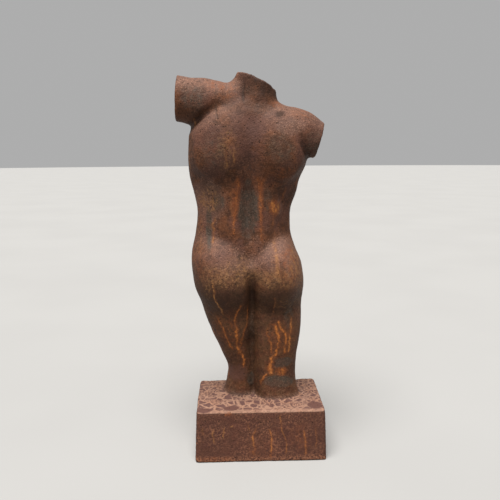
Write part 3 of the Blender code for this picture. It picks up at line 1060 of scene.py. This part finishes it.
class Value:
    """A number in a node tree. Python's operators on it add Math nodes."""

    def __init__(self, bench: NodeBench, socket: bpy.types.NodeSocket) -> None:
        """Wraps an output socket of the bench's tree."""
        self.bench = bench
        self.socket = socket

    def _math(self, operation: str, first: Value | float, second: Value | float) -> Value:
        """Adds one Math node.

        Args:
            operation: What it does.
            first: Its first number.
            second: Its second number.

        Returns:
            The node's result.
        """
        made = self.bench.node("ShaderNodeMath", {"operation": operation}, {0: first, 1: second})
        return Value(self.bench, made.outputs[0])

    def __add__(self, other: Value | float) -> Value:
        """Adds."""
        return self._math("ADD", self, other)

    __radd__ = __add__

    def __sub__(self, other: Value | float) -> Value:
        """Subtracts."""
        return self._math("SUBTRACT", self, other)

    def __rsub__(self, other: float) -> Value:
        """Subtracts this from a number."""
        return self._math("SUBTRACT", other, self)

    def __mul__(self, other: Value | float) -> Value:
        """Multiplies."""
        return self._math("MULTIPLY", self, other)

    __rmul__ = __mul__

    def __abs__(self) -> Value:
        """Drops the sign."""
        return self._math("ABSOLUTE", self, 0.0)

    def most(self, other: Value | float) -> Value:
        """Takes the larger of two numbers."""
        return self._math("MAXIMUM", self, other)

    def eased(self, low: float, high: float) -> Value:
        """Turns the number into 0 at low and 1 at high, or falls where low is above high.

        Args:
            low: Where the rise starts.
            high: Where it ends.

        Returns:
            A number from 0 to 1 with a smooth rise.
        """
        rising = low < high
        sockets = {
            "Value": self,
            "From Min": min(low, high),
            "From Max": max(low, high),
            "To Min": 0.0 if rising else 1.0,
            "To Max": 1.0 if rising else 0.0,
        }
        made = self.bench.node("ShaderNodeMapRange", {"interpolation_type": "SMOOTHSTEP"}, sockets)
        return Value(self.bench, made.outputs["Result"])


@dataclass(frozen=True)
class Pattern:
    """A fractal noise: its widest swellings in millimetres, how many finer layers and how strong they are."""

    size: float
    detail: float = 2.0
    roughness: float = 0.5


class NodeBench:
    """One material's node tree, to which every node is added by one method. Sizes in millimetres."""

    def __init__(self, name: str) -> None:
        """Makes a material with an empty tree."""
        self.material = bpy.data.materials.new(name)
        self.material.use_nodes = True
        self.tree = self.material.node_tree
        self.tree.nodes.clear()

    def node(
        self, kind: str, settings: dict[str, Any] | None = None, sockets: dict[str | int, Any] | None = None
    ) -> bpy.types.Node:
        """Adds a node.

        Args:
            kind: The node's type.
            settings: Its own settings, set first.
            sockets: Values or links of its input sockets, by name or number.

        Returns:
            The node.
        """
        made = self.tree.nodes.new(kind)
        for name, value in (settings or {}).items():
            setattr(made, name, value)
        for name, value in (sockets or {}).items():
            source = value.socket if isinstance(value, Value) else value
            if isinstance(source, bpy.types.NodeSocket):
                self.tree.links.new(source, made.inputs[name])
            else:
                made.inputs[name].default_value = source
        return made

    def here(self) -> bpy.types.NodeSocket:
        """Gives the shaded point's place on the object, in metres."""
        return self.node("ShaderNodeTexCoord").outputs["Object"]

    def attribute(self, name: str) -> Value:
        """Reads a number that the mesh stores."""
        made = self.node("ShaderNodeAttribute", {"attribute_name": name})
        return Value(self, made.outputs["Fac"])

    def triple(self, name: str) -> tuple[Value, Value, Value]:
        """Reads three numbers that the mesh stores as a vector."""
        made = self.node("ShaderNodeAttribute", {"attribute_name": name})
        return self.split(made.outputs["Vector"])

    def split(self, vector: bpy.types.NodeSocket) -> tuple[Value, Value, Value]:
        """Splits a vector into its three numbers."""
        parts = self.node("ShaderNodeSeparateXYZ", {}, {0: vector})
        return tuple(Value(self, parts.outputs[n]) for n in range(3))

    def stretched(self, vector: bpy.types.NodeSocket, by: Point) -> bpy.types.NodeSocket:
        """Multiplies a vector's parts."""
        return self.node("ShaderNodeVectorMath", {"operation": "MULTIPLY"}, {0: vector, 1: by}).outputs[0]

    def warped(self, vector: bpy.types.NodeSocket, size: float, amount: float) -> bpy.types.NodeSocket:
        """Strays a place by noise.

        Args:
            vector: The place.
            size: The noise's size.
            amount: How far the place strays.

        Returns:
            The strayed place.
        """
        sockets = {"Vector": vector, "Scale": 1.0 / (size * MM), "Detail": 1.0}
        made = self.node("ShaderNodeTexNoise", {}, sockets)
        spread = {0: made.outputs["Color"], 1: (2 * amount * MM,) * 3, 2: (-amount * MM,) * 3}
        centred = self.node("ShaderNodeVectorMath", {"operation": "MULTIPLY_ADD"}, spread)
        moved = {0: vector, 1: centred.outputs[0]}
        return self.node("ShaderNodeVectorMath", {"operation": "ADD"}, moved).outputs[0]

    def noise(self, vector: bpy.types.NodeSocket, pattern: Pattern) -> Value:
        """Adds fractal noise.

        Args:
            vector: The place.
            pattern: The noise's size and layers.

        Returns:
            A number around 0.5.
        """
        sockets = {
            "Vector": vector,
            "Scale": 1.0 / (pattern.size * MM),
            "Detail": pattern.detail,
            "Roughness": pattern.roughness,
        }
        return Value(self, self.node("ShaderNodeTexNoise", {}, sockets).outputs["Fac"])

    def cells(self, vector: bpy.types.NodeSocket, size: float, feature: str) -> Value:
        """Adds a pattern of cells.

        Args:
            vector: The place.
            size: How wide a cell is.
            feature: What is measured from.

        Returns:
            The distance to the cells' middles or edges, in cells.
        """
        sockets = {"Vector": vector, "Scale": 1.0 / (size * MM)}
        made = self.node("ShaderNodeTexVoronoi", {"feature": feature}, sockets)
        return Value(self, made.outputs["Distance"])

    def mixed(self, first: Any, second: Any, share: Value | float) -> bpy.types.NodeSocket:
        """Mixes two colours.

        Args:
            first: The first colour, a tone or a link.
            second: The second colour.
            share: How much of the second there is.

        Returns:
            The mixed colour.
        """
        sockets = {
            0: share,
            6: first if isinstance(first, bpy.types.NodeSocket) else (*first, 1.0),
            7: second if isinstance(second, bpy.types.NodeSocket) else (*second, 1.0),
        }
        return self.node("ShaderNodeMix", {"data_type": "RGBA"}, sockets).outputs[2]

    def surface(self, shader: bpy.types.Node) -> bpy.types.Material:
        """Ends the tree in a shader and gives the finished material."""
        self.node("ShaderNodeOutputMaterial", {}, {"Surface": shader.outputs[0]})
        return self.material


class Coat:
    """Colour built up in layers over a piece, with the noises that every layer shares."""

    def __init__(self, bench: NodeBench, finish: RustedIron) -> None:
        """Adds the shared noises to a material.

        Args:
            bench: The material's nodes.
            finish: The finish, which holds the noises' sizes.
        """
        self.bench = bench
        self.here = bench.here()
        self.colour: Any = finish.chocolate
        self.fine = bench.noise(self.here, finish.fine)
        self.grain = bench.noise(self.here, finish.grain)
        self.patchy = bench.noise(self.here, finish.patchy)
        self.ragged = 0.5 * bench.noise(self.here, finish.ragged) + 0.5 * self.grain
        mixed = 0.7 * self.fine + 0.3 * self.grain
        self.light = mixed.eased(*finish.light)
        self.dark = mixed.eased(*finish.dark)

    def lay(self, tone: Any, share: Value | float) -> None:
        """Lays a tone over the colour so far, by a share."""
        self.colour = self.bench.mixed(self.colour, tone, share)

    def noise(self, pattern: Pattern, squash: float = 1.0) -> Value:
        """Adds a noise, which a squash below 1 draws out up and down."""
        place = self.here if squash == 1.0 else self.bench.stretched(self.here, (1.0, 1.0, squash))
        return self.bench.noise(place, pattern)

    def worn(self, stain: Stain, low: float, high: float) -> Value:
        """Reads where a stain lies and breaks up its edges.

        Args:
            stain: The stain.
            low: The strength at which it starts to show.
            high: The strength at which it shows fully.

        Returns:
            How strongly it shows, from 0 to 1.
        """
        return (self.bench.attribute(stain.value) * (3.4 * self.ragged - 0.7)).eased(low, high)


@dataclass(frozen=True)
class RustedIron:
    """The finish of bare iron left outdoors: brown rust, orange runs, dark scale and pale dust, with shade
    painted under the forms, in hollows and in creases, and light and glints painted where the surface faces
    up.

    First come its tones, then its noises and cells, whose sizes are in millimetres, then the spans over which
    a layer starts to show and shows fully. Those of places are in metres from the origin.
    """

    chocolate: Tone = (0.050, 0.020, 0.010)
    russet: Tone = (0.122, 0.043, 0.018)
    plum: Tone = (0.080, 0.035, 0.026)
    umber: Tone = (0.056, 0.032, 0.015)
    dust: Tone = (0.140, 0.078, 0.058)
    speck: Tone = (0.235, 0.122, 0.078)
    soot_and_shade: Tone = (0.019, 0.009, 0.005)
    iron: Tone = (0.064, 0.037, 0.025)
    steel: Tone = (0.046, 0.036, 0.027)
    orange: Tone = (0.380, 0.125, 0.028)
    amber: Tone = (0.300, 0.150, 0.050)
    bloom: Tone = (0.165, 0.048, 0.015)
    ochre: Tone = (0.205, 0.100, 0.040)
    maroon: Tone = (0.067, 0.025, 0.019)
    tan: Tone = (0.225, 0.095, 0.050)
    sediment: Tone = (0.255, 0.142, 0.096)
    island: Tone = (0.060, 0.026, 0.025)
    specular: float = 0.15
    fine: Pattern = Pattern(2.0, 1.0, 0.65)
    grain: Pattern = Pattern(5.5, 3.0, 0.65)
    patchy: Pattern = Pattern(15.0, 3.0, 0.6)
    ragged: Pattern = Pattern(7.0, 3.0, 0.7)
    wide: Pattern = Pattern(48.0, 3.0, 0.55)
    purple: Pattern = Pattern(33.0)
    streaky: Pattern = Pattern(5.0, 3.0, 0.65)
    crusty: Pattern = Pattern(4.5, 3.0, 0.75)
    frayed: Pattern = Pattern(3.2, 2.0, 0.6)
    broken: Pattern = Pattern(5.0, 2.0, 0.6)
    clumped: Pattern = Pattern(38.0, 1.0)
    crumbled: Pattern = Pattern(5.0)
    warmed: Pattern = Pattern(20.0)
    wavy: Pattern = Pattern(3.0, 3.0, 0.7)
    clouded: Pattern = Pattern(32.0)
    pit_cell: float = 6.5
    pit_edge: Span = (0.20, 0.10)
    pit_stray: Stray = (5.0, 1.0)
    island_cell: float = 14.0
    island_edge: Span = (0.05, 0.13)
    crumb_cell: float = 6.0
    crumb_edge: Span = (0.06, 0.20)
    net_stray: Stray = (9.0, 3.0)
    streak_squash: float = 0.3
    break_squash: float = 0.45
    fray: float = 3.2
    run_halo: Span = (2.8, 0.5)
    run_core: Span = (1.25, 0.2)
    light: Span = (0.545, 0.63)
    dark: Span = (0.455, 0.35)
    bare_legs: Span = (325 * MM, 285 * MM)
    leg_foot: Span = (86.2 * MM, 84.3 * MM)
    side_top: Span = (83 * MM, 79 * MM)
    side_foot: Span = (13 * MM, 4 * MM)
    foot_strip: Span = (12 * MM, 5 * MM)
    back_rim: Span = (54 * MM, 63 * MM)

    def dress(self, piece: bpy.types.Object) -> None:
        """Gives a piece this finish.

        Args:
            piece: The piece, whose mesh holds where its stains and runs lie.
        """
        bench = NodeBench(SLOT)
        coat = Coat(bench, self)
        self._ground(coat)
        crust, crust_height = self._sediment(coat)
        bared = self._stain(coat)
        run = self._run(coat)
        cells = bench.cells(bench.warped(coat.here, *self.pit_stray), self.pit_cell, "F1")
        pitted = cells.eased(*self.pit_edge) * coat.patchy.eased(0.43, 0.57)
        coat.lay(self.soot_and_shade, 0.8 * pitted)
        roughness = 0.56 + 0.22 * coat.patchy + 0.16 * crust + 0.10 * run - 0.10 * bared
        height = 0.6 * coat.fine + 0.9 * coat.grain + 0.25 * run + crust_height - 0.6 * pitted
        bump = bench.node("ShaderNodeBump", {}, {"Strength": 1.0, "Distance": MM, "Height": height})
        sockets = {
            "Base Color": coat.colour,
            "Roughness": roughness,
            "Metallic": 0.0,
            "Specular IOR Level": self.specular,
            "Normal": bump.outputs["Normal"],
        }
        piece.data.materials.clear()
        piece.data.materials.append(bench.surface(bench.node("ShaderNodeBsdfPrincipled", {}, sockets)))

    def _ground(self, coat: Coat) -> None:
        """Lays the rust that covers everything: browner below, dustier and with painted light where the
        surface faces up, painted shade where it faces down and in hollows, and pale specks that are painted
        glints.

        Args:
            coat: The coat.
        """
        bench = coat.bench
        lie = bench.attribute(Trait.LIE.value)
        share = 0.40 * coat.noise(self.wide) + 0.40 * coat.patchy + 0.30 * coat.grain
        coat.lay(self.russet, share.eased(0.44, 0.68))
        bare_legs = bench.split(coat.here)[2].eased(*self.bare_legs)
        coat.lay(self.plum, (0.6 - 0.45 * bare_legs) * coat.noise(self.purple).eased(0.42, 0.62))
        coat.lay(self.umber, 0.5 * bare_legs * coat.patchy.eased(0.40, 0.58))
        # Paler where the surface faces up: dust, and also painted light from above with the sky's sheen
        upward = (lie + 0.5 * coat.patchy - 0.25).eased(0.0, 0.95)
        coat.lay(self.dust, 0.6 * upward)
        # Painted shade where the surface faces down, over scale that is darker there too, and next painted
        # shade in hollows
        coat.lay(self.soot_and_shade, 0.35 * (lie + 0.3 * coat.patchy - 0.15).eased(-0.05, -0.62))
        coat.lay(self.soot_and_shade, 0.35 * bench.attribute(Trait.HOLLOW.value).eased(0.12, 0.75))
        # Pale specks, most where the surface faces up and on the dust, are painted glints of a satin sheen
        sparkle = 0.18 + 0.50 * upward + 0.7 * bench.attribute(Stain.DUST.value)
        coat.lay(self.speck, sparkle * coat.light)
        coat.lay(self.soot_and_shade, 0.55 * coat.dark)

    def _sediment(self, coat: Coat) -> tuple[Value, Value]:
        """Lays the net of pale crust on the plinth's top and the mottling on its sides.

        Args:
            coat: The coat.

        Returns:
            Where the crust lies, and its height in millimetres.
        """
        bench = coat.bench
        flat = bench.stretched(coat.here, (1.0, 1.0, 0.0))
        strayed = bench.warped(flat, *self.net_stray)
        coarse = bench.cells(strayed, self.island_cell, "DISTANCE_TO_EDGE").eased(*self.island_edge)
        crumbs = bench.cells(strayed, self.crumb_cell, "DISTANCE_TO_EDGE").eased(*self.crumb_edge)
        across, along, high = bench.split(coat.here)
        pick = (bench.noise(flat, self.clumped) + 3.0 * along + 1.2 * across).eased(0.50, 0.64)
        island = (coarse * pick + crumbs * (1 - pick)) * (1 - 0.7 * along.eased(*self.back_rim))
        island = island.most(bench.attribute(Stain.PLUM.value).eased(0.25, 0.6))
        island = island * coat.noise(self.crumbled).eased(0.12, 0.40)
        top = bench.attribute(Trait.PLINTH_TOP.value).eased(0.3, 0.6)
        top = top * (high + 2 * MM * coat.grain).eased(*self.leg_foot)
        crusted = bench.mixed(self.sediment, self.tan, 0.35 * coat.noise(self.warmed).eased(0.4, 0.7))
        crusted = bench.mixed(crusted, self.island, 0.9 * island)
        crusted = bench.mixed(crusted, self.dust, 0.30 * coat.patchy)
        coat.lay(bench.mixed(crusted, self.soot_and_shade, 0.45 * coat.dark), top)
        sides = high.eased(*self.side_top) * (1 - top)
        wavy = coat.noise(self.wavy)
        coat.lay(self.maroon, 0.65 * sides)
        coat.lay(self.soot_and_shade, 0.3 * sides * wavy.eased(0.45, 0.36))
        clouds = (coat.noise(self.clouded) - 0.1).eased(0.15, 0.6).most(high.eased(*self.side_foot))
        mottle = sides * wavy.eased(0.51, 0.60) * clouds
        coat.lay(self.tan, 0.5 * mottle)
        coat.lay(self.tan, 0.6 * sides * high.eased(*self.foot_strip) * wavy.eased(0.42, 0.55))
        return top.most(0.5 * sides), 0.5 * top * (1 - island) + 0.2 * mottle

    def _stain(self, coat: Coat) -> Value:
        """Lays the stains, from plum scale to ochre specks, and the shade and light painted among them.

        Args:
            coat: The coat.

        Returns:
            Where iron is bare.
        """
        bench = coat.bench
        coat.lay(self.plum, 0.75 * coat.worn(Stain.PLUM, 0.1, 0.9))
        # The dust's stain also holds light painted on the right hip
        coat.lay(self.dust, 0.42 * coat.worn(Stain.DUST, 0.1, 0.9))
        # The dark scale's stain also holds the shade painted under the buttocks, in the cleft, in creases and
        # where the legs meet the plinth
        coat.lay(self.soot_and_shade, 0.75 * coat.worn(Stain.SCALE_AND_SHADE, 0.05, 1.1))
        bared = coat.worn(Stain.IRON, 0.2, 0.75)
        iron = bench.mixed(self.iron, self.steel, coat.patchy.eased(0.38, 0.56))
        # The pale specks on bare iron are painted glints as well
        iron = bench.mixed(iron, self.speck, 0.25 * coat.light)
        coat.lay(bench.mixed(iron, self.soot_and_shade, 0.5 * coat.dark), 0.85 * bared)
        streaky = coat.noise(self.streaky, self.streak_squash).eased(0.40, 0.60)
        bloom = coat.worn(Stain.BLOOM, 0.1, 1.0) * (0.20 + 0.55 * streaky + 0.4 * coat.light)
        coat.lay(self.bloom, 0.85 * bloom)
        gold = coat.worn(Stain.OCHRE, 0.1, 1.0)
        crusty = coat.noise(self.crusty)
        coat.lay(self.ochre, gold * (0.10 + 0.62 * crusty.eased(0.50, 0.62)))
        coat.lay(self.soot_and_shade, 0.55 * gold * crusty.eased(0.45, 0.36))
        return bared

    def _run(self, coat: Coat) -> Value:
        """Lays the rust runs, each a bright broken line in a faint wide stain.

        Args:
            coat: The coat.

        Returns:
            Where a run lies.
        """
        bench = coat.bench
        frayed = self.fray * (coat.noise(self.frayed) - 0.5)
        broken = coat.noise(self.broken, self.break_squash).eased(0.30, 0.58)
        patchy = 0.3 + coat.patchy
        grainy = 0.55 + 0.5 * coat.grain.eased(0.38, 0.60)
        lain = []
        for name in RunLayers.NAMES:
            across, strength, amber = bench.triple(name)
            strayed = abs(across + frayed)
            coat.lay(self.bloom, 0.45 * strayed.eased(*self.run_halo) * strength * patchy)
            run = strayed.eased(*self.run_core) * strength * broken
            tone = bench.mixed(self.bloom, self.orange, (strength + 0.6 * coat.light).eased(0.3, 1.0))
            coat.lay(bench.mixed(tone, self.amber, amber), run * grainy)
            lain.append(run)
        return functools.reduce(Value.most, lain)


@dataclass(frozen=True)
class PaleFloor:
    """A plain pale matt finish."""

    tone: Tone = (0.275, 0.270, 0.262)
    shaded: float = 0.965
    roughness: float = 0.9
    cloudy: Pattern = Pattern(500.0)

    def dress(self, piece: bpy.types.Object) -> None:
        """Gives a piece this finish.

        Args:
            piece: The floor.
        """
        bench = NodeBench("pale_floor")
        cloud = bench.noise(bench.here(), self.cloudy).eased(0.3, 0.7)
        shade = tuple(self.shaded * part for part in self.tone)
        sockets = {"Base Color": bench.mixed(self.tone, shade, cloud), "Roughness": self.roughness}
        piece.data.materials.append(bench.surface(bench.node("ShaderNodeBsdfPrincipled", {}, sockets)))


@dataclass
class Studio:
    """The pale floor, the soft light from above and the pale surroundings. Metres and radians."""

    floor_radius: float = 30.0
    floor_sides: int = 96
    sky_tone: Tone = (0.84, 0.84, 0.84)
    sky_strength: float = 0.50
    light_from: Point = (0.12, 0.36, 1.0)
    light_spread: float = math.radians(40.0)
    light_strength: float = 7.6
    light_tone: Tone = (1.0, 0.99, 0.97)

    def build(self) -> bpy.types.Object:
        """Builds the floor and lights the scene.

        Returns:
            The floor.
        """
        work = bmesh.new()
        bmesh.ops.create_circle(work, cap_ends=True, segments=self.floor_sides, radius=self.floor_radius)
        mesh = bpy.data.meshes.new("studio_floor")
        work.to_mesh(mesh)
        work.free()
        floor = bpy.data.objects.new("studio_floor", mesh)
        bpy.context.scene.collection.objects.link(floor)
        PaleFloor().dress(floor)
        self._light()
        return floor

    def _light(self) -> None:
        """Sets the soft light from above and the surroundings."""
        lamp = bpy.data.lights.new("soft_daylight", "SUN")
        lamp.angle = self.light_spread
        lamp.energy = self.light_strength
        lamp.color = self.light_tone
        light = bpy.data.objects.new("soft_daylight", lamp)
        light.rotation_mode = "QUATERNION"
        light.rotation_quaternion = Vector(self.light_from).to_track_quat("Z", "Y")
        bpy.context.scene.collection.objects.link(light)
        world = bpy.data.worlds.new("pale_surroundings")
        world.use_nodes = True
        sky = world.node_tree.nodes["Background"]
        sky.inputs["Color"].default_value = (*self.sky_tone, 1.0)
        sky.inputs["Strength"].default_value = self.sky_strength
        bpy.context.scene.world = world
        bpy.context.scene.view_settings.view_transform = "Standard"


@dataclass(frozen=True)
class Viewpoint:
    """Where the photograph was taken from. Its place in metres, angles in radians, sensor in millimetres."""

    place: Point = (0.0424, 0.9015, 0.4701)
    yaw: float = -0.032
    pitch: float = math.radians(9.2)
    roll: float = -0.006
    lens_pixels: float = 575.0
    picture_pixels: float = 500.0
    sensor: float = 36.0

    def build(self) -> bpy.types.Object:
        """Sets the camera.

        Returns:
            The camera.
        """
        level = Vector((math.sin(self.yaw), -math.cos(self.yaw), 0.0))
        forward = level * math.cos(self.pitch) - Vector((0.0, 0.0, math.sin(self.pitch)))
        right = forward.cross(Vector((0.0, 0.0, 1.0))).normalized()
        up = right.cross(forward)
        turned = right * math.cos(self.roll) + up * math.sin(self.roll)
        raised = up * math.cos(self.roll) - right * math.sin(self.roll)
        lens = bpy.data.cameras.new("viewpoint")
        lens.sensor_width = self.sensor
        lens.lens = self.sensor * self.lens_pixels / self.picture_pixels
        camera = bpy.data.objects.new("viewpoint", lens)
        turn = Matrix((turned, raised, -forward)).transposed().to_4x4()
        camera.matrix_world = Matrix.Translation(self.place) @ turn
        bpy.context.scene.collection.objects.link(camera)
        bpy.context.scene.camera = camera
        return camera


def main() -> None:
    """Loads the frame, dresses the casting and sets the stage."""
    logging.basicConfig(level=logging.INFO, format="%(name)s: %(message)s")
    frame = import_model()
    casting = Casting().build(frame)
    LOG.info("casting: %d points, %d faces", len(casting.data.vertices), len(casting.data.polygons))
    floor = Studio().build()
    LOG.info("floor: %s", floor.name)
    camera = Viewpoint().build()
    LOG.info("camera: %.1f mm lens", camera.data.lens)


if __name__ == "__main__":
    main()
